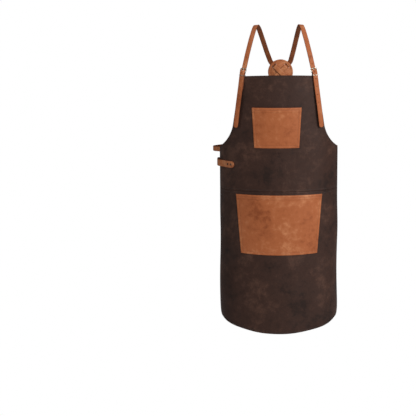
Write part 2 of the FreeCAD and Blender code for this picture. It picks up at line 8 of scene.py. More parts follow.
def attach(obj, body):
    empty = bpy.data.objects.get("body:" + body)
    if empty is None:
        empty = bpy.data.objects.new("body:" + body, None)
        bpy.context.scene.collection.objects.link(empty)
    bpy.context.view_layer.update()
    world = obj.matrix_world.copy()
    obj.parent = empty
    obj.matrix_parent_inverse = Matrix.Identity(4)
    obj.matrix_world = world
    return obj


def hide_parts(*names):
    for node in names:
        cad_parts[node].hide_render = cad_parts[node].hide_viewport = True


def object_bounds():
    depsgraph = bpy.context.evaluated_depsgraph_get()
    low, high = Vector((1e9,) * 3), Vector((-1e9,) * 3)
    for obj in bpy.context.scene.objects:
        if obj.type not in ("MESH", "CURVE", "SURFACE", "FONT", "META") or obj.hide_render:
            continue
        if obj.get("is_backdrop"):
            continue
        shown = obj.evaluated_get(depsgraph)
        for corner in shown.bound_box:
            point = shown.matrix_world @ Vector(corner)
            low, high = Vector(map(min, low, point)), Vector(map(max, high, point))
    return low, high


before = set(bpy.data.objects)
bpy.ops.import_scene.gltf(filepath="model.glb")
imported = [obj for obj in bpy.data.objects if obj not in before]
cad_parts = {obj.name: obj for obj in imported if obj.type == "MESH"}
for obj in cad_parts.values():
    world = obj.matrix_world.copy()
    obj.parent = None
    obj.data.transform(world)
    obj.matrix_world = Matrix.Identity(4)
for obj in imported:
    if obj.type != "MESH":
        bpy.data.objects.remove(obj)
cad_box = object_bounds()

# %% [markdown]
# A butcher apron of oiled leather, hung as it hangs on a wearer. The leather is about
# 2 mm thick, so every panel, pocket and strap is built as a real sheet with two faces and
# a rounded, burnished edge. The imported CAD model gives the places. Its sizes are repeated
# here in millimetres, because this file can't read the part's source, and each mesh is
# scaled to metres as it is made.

METRE = 0.001                  # one millimetre in Blender's metres
up = np.array((0.0, 0.0, 1.0))

# %% Sizes shared with the CAD part, in millimetres
torso_half_width, front_radius = 191.0, 310.0
front_angle, edge_angle = math.radians(24), math.radians(85)
leather = 2.0
bib_top = -156.0
apron_length, bib_half_width, bib_arch = 840.0, 124.5, 3.0
armhole_lean, armhole_radius, armhole_exit = math.radians(10.3), 92.0, math.radians(22)
corner_drop, seam_drop, seam_gap = 241.0, 371.0, 0.2
hem_radius, hem_corner = 580.0, 38.0
strap_width, strap_thickness = 16.0, 2.5

front_sine = math.sin(front_angle)
side_radius = (torso_half_width - front_radius * front_sine) / (1 - front_sine)
side_centre = (front_radius - side_radius) * front_sine
front_centre = (front_radius - side_radius) * math.cos(front_angle)
front_run = (front_radius + leather) * front_angle
edge_place = front_run + (side_radius + leather) * (edge_angle - front_angle)
print("flat half width of the apron:", round(edge_place, 1), "mm")

# %% [markdown]
# The camera stands a little above the bib and looks slightly down, from far enough away
# that the straps hardly converge. Its yaw puts the apron right of the middle, and no lens
# shift is used, so the other views keep their framing.

# %% Camera
camera_place = Vector((0.0, -3.8, bib_top * METRE + 0.22))
yaw, pitch, roll = (math.radians(turn) for turn in (3.522, 9.904, -0.607))
camera_data = bpy.data.cameras.new("camera")
camera_data.lens = 100.63
camera_data.sensor_width = 36.0
camera = bpy.data.objects.new("camera", camera_data)
bpy.context.scene.collection.objects.link(camera)
camera.matrix_world = (Matrix.Translation(camera_place) @ Matrix.Rotation(yaw, 4, "Z")
                       @ Matrix.Rotation(math.pi / 2 - pitch, 4, "X")
                       @ Matrix.Rotation(roll, 4, "Z"))
bpy.context.scene.camera = camera

# %% [markdown]
# A material is a tree of small nodes. A few short calls that place a node and feed its
# sockets keep each recipe readable, because a socket takes either a value or another
# node's output.


# %% Wiring of node trees
class Wiring:
    """Short calls for placing nodes in one tree and joining them."""

    def __init__(self, tree):
        self.tree = tree

    def feed(self, socket, value):
        """Joins an output to a socket, or sets the socket's own value."""
        if hasattr(value, "node"):
            self.tree.links.new(value, socket)
        else:
            socket.default_value = value

    def node(self, kind, inputs=None, **settings):
        made = self.tree.nodes.new(kind)
        for key, value in settings.items():
            setattr(made, key, value)
        for key, value in (inputs or {}).items():
            self.feed(made.inputs[key], value)
        return made

    def maths(self, operation, first, second):
        return self.node("ShaderNodeMath", {0: first, 1: second}, operation=operation).outputs[0]

    def plus(self, first, second):
        return self.maths("ADD", first, second)

    def times(self, first, second):
        return self.maths("MULTIPLY", first, second)

    def noise(self, place, scale, detail=3.0, rough=0.55):
        return self.node("ShaderNodeTexNoise", {"Vector": place, "Scale": scale, "Detail": detail,
                                                "Roughness": rough}).outputs["Fac"]

    def ramp(self, value, low, high):
        """Maps low to 0 and high to 1, smoothly, and stops at both."""
        return self.node("ShaderNodeMapRange", {"Value": value, "From Min": low, "From Max": high},
                         interpolation_type="SMOOTHSTEP").outputs["Result"]

    def blend(self, factor, first, second):
        return self.node("ShaderNodeMix", {0: factor, 6: first, 7: second},
                         data_type="RGBA").outputs[2]

    def shade(self, values, height, strength, distance):
        """Feeds the material's shader, with a bump from a height."""
        bump = self.node("ShaderNodeBump", {"Strength": strength, "Distance": distance,
                                            "Height": height})
        sockets = self.tree.nodes["Principled BSDF"].inputs
        for socket, value in {**values, "Normal": bump.outputs["Normal"]}.items():
            self.feed(sockets[socket], value)

    def only_for_camera(self, seen, unseen, output):
        """Puts out two shaders: one that the camera sees, one that lights the scene."""
        ray = self.node("ShaderNodeLightPath").outputs["Is Camera Ray"]
        mix = self.node("ShaderNodeMixShader", {0: ray})
        self.tree.links.new(unseen.outputs[0], mix.inputs[1])
        self.tree.links.new(seen.outputs[0], mix.inputs[2])
        self.tree.links.new(mix.outputs[0], self.tree.nodes[output].inputs["Surface"])


def new_material(name):
    material = bpy.data.materials.new(name)
    material.use_nodes = True
    return material, Wiring(material.node_tree)


# %% [markdown]
# Leather shows its quality in broad, soft highlights. A large soft box stands at the
# front right, a weaker one at the left, and a long one hangs above. A pale world fills
# the shadows and runs into a pale floor, so that nothing competes with the apron.

# %% Floor, world and lights
floor_level = (bib_top - apron_length) * METRE - 0.55
bpy.ops.mesh.primitive_circle_add(vertices=96, radius=60, fill_type="NGON",
                                  location=(0, 0, floor_level))
floor = bpy.context.object
floor.name = "floor"
floor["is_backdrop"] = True
floor_paint, w = new_material("pale_floor")
paint = w.tree.nodes["Principled BSDF"]
for socket, value in (("Base Color", (0.75, 0.75, 0.75, 1)), ("Roughness", 0.9),
                      ("Specular IOR Level", 0.0)):
    paint.inputs[socket].default_value = value
w.only_for_camera(w.node("ShaderNodeEmission", {"Strength": 1.0}), paint, "Material Output")
floor.data.materials.append(floor_paint)

world = bpy.data.worlds.new("studio")
world.use_nodes = True
w = Wiring(world.node_tree)
room = w.tree.nodes["Background"]
room.inputs["Color"].default_value = (1, 1, 1, 1)
room.inputs["Strength"].default_value = 0.20
backdrop = w.node("ShaderNodeBackground", {"Color": (1, 1, 1, 1), "Strength": 1.0})
w.only_for_camera(backdrop, room, "World Output")
bpy.context.scene.world = world
bpy.context.scene.view_settings.view_transform = "Standard"

for name, place, width, height, power in (("key_right", (2.2, -2.3, 0.9), 1.3, 1.9, 88),
                                          ("fill_left", (-2.6, -1.6, 0.2), 0.8, 2.0, 9),
                                          ("top", (0.2, -0.5, 2.4), 1.8, 1.4, 18)):
    data = bpy.data.lights.new(name, "AREA")
    data.shape = "RECTANGLE"
    data.size, data.size_y, data.energy = width, height, power
    light = bpy.data.objects.new(name, data)
    light.location = place
    aim = Vector((0, 0, -0.5)) - Vector(place)
    light.rotation_euler = aim.to_track_quat("-Z", "Y").to_euler()
    bpy.context.scene.collection.objects.link(light)
print("floor at", round(floor_level, 3), "m")

# %% [markdown]
# A grain, a mottled dye or a patina is the same recipe at different sizes, so each is one
# node group with named inputs, used by every material that needs it. Only values that
# change over the surface leave a group. The constant ones are set on the shader's own
# sockets, so that they survive an export.

# %% Node group helper
COLOUR, NUMBER = "NodeSocketColor", "NodeSocketFloat"


def new_group(name, inputs, outputs):
    """A shader node group: its wiring, named inputs and outputs, and a place on the object."""
    group = bpy.data.node_groups.new(name, "ShaderNodeTree")
    for socket, value in inputs.items():
        kind = COLOUR if isinstance(value, tuple) else NUMBER
        made = group.interface.new_socket(socket, in_out="INPUT", socket_type=kind)
        made.default_value = value
    for socket in outputs:
        kind = COLOUR if socket == "Color" else NUMBER
        group.interface.new_socket(socket, in_out="OUTPUT", socket_type=kind)
    w = Wiring(group)
    start, end = w.node("NodeGroupInput").outputs, w.node("NodeGroupOutput").inputs
    return group, w, start, end, w.node("ShaderNodeTexCoord").outputs["Object"]


# %% Mottled dye: broad patches, cloudy blotches and fine speckle over three colours
dye, w, start, end, place = new_group("mottled_dye", {
    "Dark": (0, 0, 0, 1), "Middle": (.5, .5, .5, 1), "Light": (1, 1, 1, 1),
    "Patches per metre": 12.0, "Speckle": 0.3}, ("Color",))
rate = start["Patches per metre"]
patches = w.noise(place, rate, 4.0, 0.62)
clouds = w.noise(place, w.times(rate, 6.5), 5.0, 0.7)
speckle = w.noise(place, w.times(rate, 45.0), 2.0, 0.5)
mixed = w.plus(w.times(patches, 0.62), w.times(clouds, 0.38))
low_half = w.blend(w.ramp(mixed, 0.36, 0.50), start["Dark"], start["Middle"])
both = w.blend(w.ramp(mixed, 0.50, 0.66), low_half, start["Light"])
fine = w.times(w.ramp(speckle, 0.42, 0.70), start["Speckle"])
w.feed(end["Color"], w.blend(fine, both, start["Dark"]))

# %% Leather grain: pebbles with creases between them, and pores
grain, w, start, end, place = new_group("leather_grain", {
    "Pebbles per metre": 700.0, "Crease depth": 0.6, "Gloss": 0.45}, ("Height", "Roughness"))
rate = start["Pebbles per metre"]
wander = w.node("ShaderNodeTexNoise", {"Scale": 60.0, "Detail": 2.0, "Vector": place})
offset = w.node("ShaderNodeVectorMath", {0: wander.outputs["Color"], 1: (0.004, 0.004, 0.004)},
                operation="MULTIPLY")
warped = w.node("ShaderNodeVectorMath", {0: place, 1: offset.outputs[0]},
                operation="ADD").outputs[0]
pebbles = w.node("ShaderNodeTexVoronoi", {"Vector": warped, "Scale": rate},
                 feature="DISTANCE_TO_EDGE")
crease = w.ramp(pebbles.outputs["Distance"], 0.0, 0.22)
pores = w.noise(warped, w.times(rate, 3.0), 2.0)
height = w.plus(w.times(crease, start["Crease depth"]), w.times(pores, 0.25))
w.feed(end["Height"], w.plus(height, w.times(w.noise(place, 90.0, 3.0), 0.5)))
worn = w.times(w.ramp(w.noise(place, 14.0, 4.0), 0.35, 0.7), 0.14)
rough = w.plus(start["Gloss"], w.times(w.maths("SUBTRACT", 1.0, crease), 0.15))
w.feed(end["Roughness"], w.maths("SUBTRACT", rough, worn))

# %% Patina: tarnish in patches and faint rubbing marks on plated metal
patina, w, start, end, place = new_group("patina", {
    "Bright": (.7, .7, .7, 1), "Tarnish": (.1, .1, .1, 1), "Spots per metre": 300.0},
    ("Color", "Roughness", "Height"))
rate = start["Spots per metre"]
spots = w.ramp(w.noise(place, rate, 4.0, 0.65), 0.46, 0.68)
w.feed(end["Color"], w.blend(spots, start["Bright"], start["Tarnish"]))
w.feed(end["Roughness"], w.plus(0.24, w.times(spots, 0.3)))
w.feed(end["Height"], w.noise(place, w.times(rate, 9.0), 1.0))
print("node groups:", [group.name for group in bpy.data.node_groups])

# %% [markdown]
# Two leathers are needed, dark oiled and tan, and each has a face, a rough flesh side and
# a burnished cut edge. All six are the same two groups with their own colours, grain size
# and gloss.


# %% Materials of the leather
def linear(red, green, blue):
    """A screen colour given as 0 to 255, in the linear values that shaders take."""
    shares = [value / 255 for value in (red, green, blue)]
    return (*(s / 12.92 if s <= 0.04045 else ((s + 0.055) / 1.055) ** 2.4 for s in shares), 1.0)


def leather_finish(name, tones, patches, speckle, pebbles, depth, gloss, bump,
                   sheen=0.0, coat=0.0):
    material, w = new_material(name)
    dark, middle, light = (linear(*tone) for tone in tones)
    colour = w.node("ShaderNodeGroup", {
        "Dark": dark, "Middle": middle, "Light": light, "Patches per metre": patches,
        "Speckle": speckle}, node_tree=dye)
    surface = w.node("ShaderNodeGroup", {"Pebbles per metre": pebbles, "Crease depth": depth,
                                         "Gloss": gloss}, node_tree=grain)
    w.shade({"Base Color": colour.outputs["Color"], "Roughness": surface.outputs["Roughness"],
             "Sheen Weight": sheen, "Sheen Roughness": 0.5, "Coat Weight": coat,
             "Coat Roughness": 0.45, "Specular IOR Level": 0.25},
            surface.outputs["Height"], bump, 0.0004)
    return material


BROWN = (leather_finish("brown_face", ((39, 22, 15), (60, 37, 28), (86, 58, 46)),
                        8.0, 0.30, 620.0, 0.6, 0.58, 0.6, coat=0.03),
         leather_finish("brown_flesh", ((48, 31, 24), (66, 45, 36), (84, 62, 50)),
                        24.0, 0.5, 1500.0, 0.2, 0.88, 0.9, sheen=0.1),
         leather_finish("brown_edge", ((22, 14, 10), (32, 21, 16), (46, 32, 26)),
                        60.0, 0.3, 1800.0, 0.2, 0.48, 0.4))
TAN = (leather_finish("tan_face", ((144, 74, 38), (174, 98, 56), (204, 134, 90)),
                      8.0, 0.12, 900.0, 0.4, 0.56, 0.4, coat=0.04),
       leather_finish("tan_flesh", ((112, 58, 30), (136, 74, 40), (160, 94, 54)),
                      30.0, 0.35, 1900.0, 0.2, 0.88, 0.8, sheen=0.06),
       leather_finish("tan_edge", ((98, 48, 24), (122, 62, 33), (148, 82, 48)),
                      70.0, 0.3, 2200.0, 0.2, 0.50, 0.35))
FACE, FLESH, EDGE = 0, 1, 2


# %% Materials of the thread and the metal
def thread_finish(name, dark, light):
    material, w = new_material(name)
    fibres = w.noise(w.node("ShaderNodeTexCoord").outputs["Object"], 2600.0, 2.0)
    twisted = w.blend(w.ramp(fibres, 0.35, 0.65), linear(*dark), linear(*light))
    w.shade({"Base Color": twisted, "Roughness": 0.62, "Sheen Weight": 0.2}, fibres, 0.5, 0.0002)
    return material


def metal_finish(name, bright, tarnish, spots_rate):
    material, w = new_material(name)
    aged = w.node("ShaderNodeGroup", {"Bright": linear(*bright), "Tarnish": linear(*tarnish),
                                      "Spots per metre": spots_rate}, node_tree=patina).outputs
    w.shade({"Base Color": aged["Color"], "Roughness": aged["Roughness"], "Metallic": 1.0},
            aged["Height"], 0.12, 0.0001)
    return material


brown_thread = thread_finish("brown_thread", (28, 19, 15), (54, 40, 33))
tan_thread = thread_finish("tan_thread", (112, 60, 34), (150, 88, 54))
old_nickel = metal_finish("old_nickel", (196, 188, 170), (92, 82, 66), 260.0)
dark_nickel = metal_finish("dark_nickel", (92, 86, 80), (34, 30, 27), 320.0)
print("materials:", len(bpy.data.materials))

# %% [markdown]
# The wearer's torso is a horizontal section of three tangent arcs, the same all the way
# down. A point of a flat pattern, its place along the leather and its height, bends onto
# that section, so every panel, pocket and seam can be drawn flat, as a maker cuts it.


# %% From the flat pattern to the hanging shape
def angle_at(place):
    run = np.abs(place)
    turn = np.where(run <= front_run, run / (front_radius + leather),
                    front_angle + (run - front_run) / (side_radius + leather))
    return np.copysign(turn, place)


def section_point(angle, offset, z):
    angle, offset, z = np.broadcast_arrays(*(np.asarray(v, float) for v in (angle, offset, z)))
    turn = np.abs(angle)
    front = turn <= front_angle
    x = np.where(front, (front_radius + offset) * np.sin(turn),
                 side_centre + (side_radius + offset) * np.sin(turn))
    y = np.where(front, front_centre - (front_radius + offset) * np.cos(turn),
                 -(side_radius + offset) * np.cos(turn))
    return np.stack((np.copysign(x, angle), y, z), axis=-1)


def outward(angle):
    return np.array((math.sin(angle), -math.cos(angle), 0.0))


def smooth_step(value, low, high):
    share = np.clip((value - low) / (high - low), 0, 1)
    return share * share * (3 - 2 * share)


def drape(place, z):
    """How far the hanging leather stands out of the plain section, in soft flutes."""
    drop = bib_top - z
    low = smooth_step(drop, 560, 840)
    flutes = 1.1 * np.cos(place / 29 + 0.6) + 0.9 * np.cos(place / 17.5 - z / 260)
    side = smooth_step(np.abs(place), 150, 240) * smooth_step(drop, 380, 520)
    sway = 1.3 * np.sin(z / 52 + np.sign(place) * 1.1)
    return low * (flutes + 1.6) + side * (sway + 1.0)


def on_leather(place, z, out):
    """Points at a height above the leather's outer face."""
    place, z = np.asarray(place, float), np.asarray(z, float)
    return section_point(angle_at(place), leather + out + drape(place, z), z)


# %% Lines: directions, lengths, even steps and rounded corners
def unit(vectors):
    vectors = np.asarray(vectors, float)
    return vectors / np.linalg.norm(vectors, axis=-1, keepdims=True)


def lengths_of(line):
    """How far along a line each of its points lies."""
    return np.concatenate(([0], np.cumsum(np.linalg.norm(np.diff(line, axis=0), axis=1))))


def at_lengths(marks, lengths, values):
    return np.stack([np.interp(marks, lengths, column) for column in np.asarray(values).T], axis=1)


def spread(first, last, step):
    return np.linspace(first, last, max(1, round(abs(last - first) / step)) + 1)


def circle(count):
    return np.arange(count) * 2 * math.pi / count


def rounded(corner, ahead, leaving, turn, radius, count):
    """Points on the arc that rounds a corner between two headings."""
    across = unit(leaving - ahead * math.cos(turn))
    start = corner - ahead * (radius * math.tan(turn / 2))
    return [start + across * (radius * (1 - math.cos(a))) + ahead * (radius * math.sin(a))
            for a in np.linspace(0, turn, count)]


# %% [markdown]
# Every leather piece is a grid with a front and a back that share their outermost points.
# The next two rings of points swell to the full thickness, which rounds the cut edge. A
# shallow groove lies where the thread is sewn, because stitching pulls leather down.


# %% Mesh helpers
def add_mesh(name, points, faces, finishes, marks=None, body="apron"):
    """Makes an object from points in millimetres; marks gives each face its finish."""
    mesh = bpy.data.meshes.new(name)
    mesh.from_pydata((np.asarray(points) * METRE).tolist(), [], faces)
    for finish in finishes:
        mesh.materials.append(finish)
    if marks is not None:
        mesh.polygons.foreach_set("material_index", np.asarray(marks, dtype=np.int32))
    piece = bpy.data.objects.new(name, mesh)
    bpy.context.scene.collection.objects.link(piece)
    smooth(mesh)
    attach(piece, body)
    return piece


def smooth(mesh):
    """Shades a mesh smoothly, apart from its sharp edges."""
    mesh.polygons.foreach_set("use_smooth", np.ones(len(mesh.polygons), dtype=bool))
    mesh.update()
    mesh.set_sharp_from_angle(angle=math.radians(50))


def face_outside(piece):
    """Turns every face of closed meshes outwards."""
    work = bmesh.new()
    work.from_mesh(piece.data)
    bmesh.ops.recalc_face_normals(work, faces=work.faces)
    work.to_mesh(piece.data)
    work.free()


def stands_for(piece, node):
    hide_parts(node)


def band_faces(rings, sides, closed=False):
    """Faces between rings of points; closed joins the last ring to the first."""
    faces = [(i * sides + j, (i + 1) % rings * sides + j,
              (i + 1) % rings * sides + (j + 1) % sides, i * sides + (j + 1) % sides)
             for i in range(rings if closed else rings - 1) for j in range(sides)]
    if not closed:
        faces += [tuple(range(sides)), tuple(range(rings * sides - 1, (rings - 1) * sides - 1, -1))]
    return faces


def join_parts(name, parts, finish, body="apron"):
    """One mesh of several, each given as its points and faces."""
    points, faces = [], []
    for some_points, some_faces in parts:
        shift = len(points)
        points += list(some_points)
        faces += [tuple(v + shift for v in face) for face in some_faces]
    return add_mesh(name, np.array(points), faces, (finish,), body=body)


edge_rings = (0.0, 0.35, 1.0, 5.4, 6.2, 7.0)      # distances from the cut edge
edge_swell = (0.0, 0.72, 1.0, 1.0, 1.0, 1.0)
stitch_ring, groove_depth = 4, 0.28
stitch_inset = edge_rings[stitch_ring]


def leaf(name, places, heights, middle, half, finishes, swell=edge_swell, folded=0.0):
    """A leaf of leather; middle and half are its level on the section and half thickness."""
    rows, columns = places.shape
    across = np.minimum(np.arange(columns), columns - 1 - np.arange(columns))
    down = np.minimum(np.arange(rows), rows - 1 - np.arange(rows))
    ring = np.minimum(across[None, :], down[:, None])
    thick = np.asarray(swell)[np.minimum(ring, len(swell) - 1)]
    groove = np.where(ring == stitch_ring, groove_depth, 0.0)
    front = on_leather(places, heights, middle + (half + folded) * thick - groove)
    back = on_leather(places, heights, middle - half * thick)
    inside = ring > 0
    number = np.arange(rows * columns).reshape(rows, columns)
    behind = number.copy()
    behind[inside] = rows * columns + np.arange(inside.sum())
    faces, marks = [], []
    for n, order, mark in ((number, (0, 3, 2, 1), FACE), (behind, (0, 1, 2, 3), FLESH)):
        quads = np.stack((n[:-1, :-1], n[:-1, 1:], n[1:, 1:], n[1:, :-1]), axis=-1)
        faces += quads[..., order].reshape(-1, 4).tolist()
        near = np.minimum(np.minimum(ring[:-1, :-1], ring[:-1, 1:]),
                          np.minimum(ring[1:, 1:], ring[1:, :-1])).reshape(-1)
        marks += np.where(near == 0, EDGE, mark).tolist()
    points = np.concatenate((front.reshape(-1, 3), back[inside]))
    return add_mesh(name, points, faces, finishes, marks)


def flat_area(outline):
    """Area in square metres of a closed flat outline in millimetres."""
    x, y = np.asarray(outline, float).T
    return abs(float(np.dot(x, np.roll(y, -1)) - np.dot(y, np.roll(x, -1)))) / 2 * METRE ** 2


# %% Stitches: many small capsules laid along a seam
def stitches(name, lines, finish, pitch=4.2, half_length=1.45, radius=0.42):
    """Lines are (points, normals) along seams; each gets stitches at an even pitch."""
    stops = np.array([-1.0, -0.8, -0.35, 0.35, 0.8, 1.0]) * half_length
    sizes = np.array([0.25, 0.75, 1.0, 1.0, 0.75, 0.25]) * radius
    base = np.array([(stop, size * math.cos(t), size * math.sin(t))
                     for stop, size in zip(stops, sizes) for t in circle(6)])
    base_faces = [face[::-1] for face in band_faces(len(stops), 6)]
    parts = []
    for path, normals in lines:
        lengths = lengths_of(path)
        count = max(1, int(lengths[-1] // pitch))
        marks = (np.arange(count) + 0.5) * lengths[-1] / count
        spots = at_lengths(marks, lengths, path)
        run = unit(at_lengths(marks + 1, lengths, path) - at_lengths(marks - 1, lengths, path))
        side = unit(np.cross(at_lengths(marks, lengths, normals), run))
        axes = np.stack((run, side, np.cross(run, side)), axis=1)
        parts += [(block, base_faces) for block in spots[:, None] + base @ axes]
    return join_parts(name, parts, finish)


def seam_line(places, heights, out=0.02):
    """A stitch line on the leather: points a little above it, with their normals."""
    places, heights = np.broadcast_arrays(np.asarray(places, float), heights)
    angles = angle_at(places)
    normals = np.stack((np.sin(angles), -np.cos(angles), np.zeros_like(angles)), axis=1)
    return on_leather(places, heights, out), normals


# %% [markdown]
# The bib is cut with a slightly arched top and two hollow armholes that end at the waist
# corners. Rows of points follow the outline of the armholes, so the cut edge is smooth
# and has the same rounding all along.


# %% The bib's outline on the right, from its top corner to the seam
def top_edge_z(place):
    return bib_top - bib_arch * (np.asarray(place, float) / bib_half_width) ** 2


def armhole_points():
    corner = np.array((bib_half_width, float(top_edge_z(bib_half_width))))
    waist = np.array((edge_place, bib_top - corner_drop))
    down = np.array((math.sin(armhole_lean), -math.cos(armhole_lean)))
    out = np.array((math.cos(armhole_exit), -math.sin(armhole_exit)))
    gap = waist - corner
    run = (gap[0] * out[1] - gap[1] * out[0]) / (down[0] * out[1] - down[1] * out[0])
    turn = math.acos(float(down @ out))
    arc = rounded(corner + down * run, down, out, turn, armhole_radius, 24)
    upper = [corner + (arc[0] - corner) * s for s in np.linspace(0, 1, 20)[:-1]]
    lower = [arc[-1] + (waist - arc[-1]) * s for s in np.linspace(0, 1, 12)[1:]]
    return upper + arc + lower


armhole = armhole_points()
seam_z = bib_top - seam_drop
side_rows = [(edge_place, z) for z in spread(bib_top - corner_drop, seam_z, 9)[1:]]
outline = np.array(armhole + side_rows)
print("armhole length:", round(lengths_of(armhole)[-1], 1), "mm")

# Rows at the ring distances below the top and above the bottom, and the outline's between.
lengths = lengths_of(outline)
full, clear = lengths[-1], edge_rings[-1] + 2
marks = [*edge_rings, *(v for v in lengths if clear < v < full - clear),
         *(full - d for d in reversed(edge_rings))]
rows = at_lengths(marks, lengths, outline)
heading = unit(np.gradient(rows, axis=0))
inset = np.stack((heading[:, 1], -heading[:, 0]), axis=1)
inset /= np.abs(inset[:, :1]) ** 0.35
inset[:, 1] *= smooth_step(bib_top - rows[:, 1], 2, 30)

# %% Bib panel
columns = np.linspace(-1, 1, 61)[1:-1]
places, heights = [], []
for end, move in zip(rows, inset):
    ends = end + move * np.array(edge_rings)[:, None]
    arch = bib_arch * (1 - columns ** 2) * (1 - smooth_step(bib_top - end[1], 0, 120))
    places.append([*-ends[:, 0], *columns * ends[-1, 0], *ends[::-1, 0]])
    heights.append([*ends[:, 1], *ends[-1, 1] + arch, *ends[::-1, 1]])
half = leather / 2
bib_panel = leaf("bib_panel_leather", np.array(places), np.array(heights), -half, half, BROWN)
stands_for(bib_panel, "bib_panel")
bib_outline = np.concatenate((rows, rows[::-1] * (-1, 1)))
print("bib panel:", len(rows), "rows")

# %% [markdown]
# The skirt hangs from a seam at the waist and ends in a long curved hem with round
# corners. A lapped strip behind the seam takes the second row of stitches.


# %% Skirt panel and the strip behind the seam
def hem_z(place):
    return bib_top - apron_length + np.asarray(place, float) ** 2 / (2 * hem_radius)


def hem_outline(place):
    """Height of the hem under a place, with the round corners."""
    reach = edge_place - hem_corner
    run = np.abs(place)
    turn = np.arcsin(np.clip((run - reach) / hem_corner, 0, 1))
    rise = float(hem_z(edge_place)) + hem_corner - float(hem_z(reach))
    return np.where(run <= reach, hem_z(place), hem_z(reach) + rise * (1 - np.cos(turn)))


skirt_top = seam_z - seam_gap
near_edge = edge_place - np.array((*edge_rings, 9, 11.5, 15, 19, 24, 30, 36, 42))
middle_columns = spread(-edge_place + 50, edge_place - 50, 8)
skirt_columns = np.concatenate((-near_edge, middle_columns, near_edge[::-1]))
hem = hem_outline(skirt_columns)
body_top, body_low = skirt_top - edge_rings[-1], hem + edge_rings[-1]
heights = np.array([np.full(len(hem), skirt_top - d) for d in edge_rings]
                   + [body_top + (body_low - body_top) * s for s in np.linspace(0, 1, 46)[1:-1]]
                   + [hem + d for d in reversed(edge_rings)])
places = np.broadcast_to(skirt_columns, heights.shape)
skirt_panel = leaf("skirt_panel_leather", places, heights, -half, half, BROWN)
stands_for(skirt_panel, "skirt_panel")
skirt_outline = [*zip(skirt_columns, hem), (edge_place, skirt_top), (-edge_place, skirt_top)]

lap_above, lap_height, lap_half = 6.0, 18.0, 0.9
lap_rings, lap_swell = np.array((0, 0.35, 1.0)), (0, 0.72, 1)
lap_rows = np.concatenate((lap_rings, (lap_height / 2,), lap_height - lap_rings[::-1]))
lap_columns = np.concatenate((-edge_place + lap_rings, spread(-edge_place + 6, edge_place - 6, 6),
                              edge_place - lap_rings[::-1]))
places, heights = np.meshgrid(lap_columns, seam_z + lap_above - lap_rows)
lap_strip = leaf("waist_lap_leather", places, heights, -leather - 0.05 - lap_half, lap_half,
                 BROWN, lap_swell)
print("skirt panel:", len(skirt_columns), "columns")

# %% [markdown]
# A patch pocket is one leaf of tan leather, folded over along its top edge and sewn down
# along its sides and bottom. Inside the stitching the leaf bulges a little, and it is
# most open at the middle of its top edge.

# %% Pockets
pocket_leaf, pocket_lift, fold_leaf = 1.7, 0.1, 0.8
fold_drop, pocket_stitch = 14.0, 8.0
pocket_rings = (0.0, 0.35, 1.0, 7.2, pocket_stitch, 8.8)


def patch_pocket(node, widths, drops, shift, sag, bulge):
    wide_top, wide_low = widths
    high, low = bib_top - drops[0], bib_top - drops[1]
    tall = high - low

    def half_width(z):
        return (wide_low + (wide_top - wide_low) * (z - low) / tall) / 2

    def hang(places, level):
        """How far a point sinks, most at the middle of the bottom edge."""
        share = 1 - ((places - shift) / half_width(level)) ** 2
        return sag * share * smooth_step(high - level, 0, tall)

    def puff(places, z):
        """How far the leaf stands off the panel inside its stitching."""
        side = half_width(z) - np.abs(places - shift)
        lift = smooth_step(side, pocket_stitch, 0.62 * wide_top / 2) ** 0.8
        lift = lift * smooth_step(z - (low - sag), pocket_stitch, 0.62 * tall)
        return pocket_lift + bulge * lift * (0.72 + 0.28 * smooth_step(z, low, high))

    def sewn(places, level, raised):
        z = level - hang(places, level)
        points, normals = seam_line(places, z)
        rise = puff(places, z) + pocket_leaf + raised - groove_depth
        return points + normals * rise[:, None], normals

    distances = [*pocket_rings, *(fold_drop + d for d in (-0.5, 0, 0.8, 2.4)),
                 *spread(fold_drop + 6, tall - pocket_rings[-1] - 4, 5)]
    levels = np.array([high - d for d in distances] + [low + d for d in reversed(pocket_rings)])
    places = []
    for level in levels:
        ends = half_width(level) - np.array(pocket_rings)
        inner = np.linspace(-1, 1, 57)[1:-1] * ends[-1]
        places.append([*-ends, *inner, *ends[::-1]])
    places = np.array(places) + shift
    heights = levels[:, None] - hang(places, levels[:, None])
    folded = fold_leaf * (levels[:, None] > high - fold_drop - 0.3)
    thick = pocket_leaf / 2
    piece = leaf(node + "_leather", places, heights, puff(places, heights) + thick, thick, TAN,
                 folded=folded)
    stands_for(piece, node)

    lines = []
    levels = spread(high - 1.5, low + pocket_stitch, 6)
    for side in (-1, 1):
        lines.append(sewn(shift + side * (half_width(levels) - pocket_stitch), levels,
                          np.where(levels > high - fold_drop, fold_leaf, 0.0)))
    for level, raised in ((low + pocket_stitch, 0.0), (high - pocket_stitch, fold_leaf)):
        wide = half_width(level) - pocket_stitch
        lines.append(sewn(shift + spread(-wide, wide, 5), level, raised))
    thread = stitches(node + "_stitching", lines, tan_thread, pitch=4.0)
    print(node, "points", places.shape)


patch_pocket("bib_pocket", (159.0, 144.0), (101.5, 230.0), -6.0, 0.5, 2.6)
patch_pocket("hip_pocket", (286.0, 252.5), (381.0, 574.0), 1.5, 3.8, 4.2)
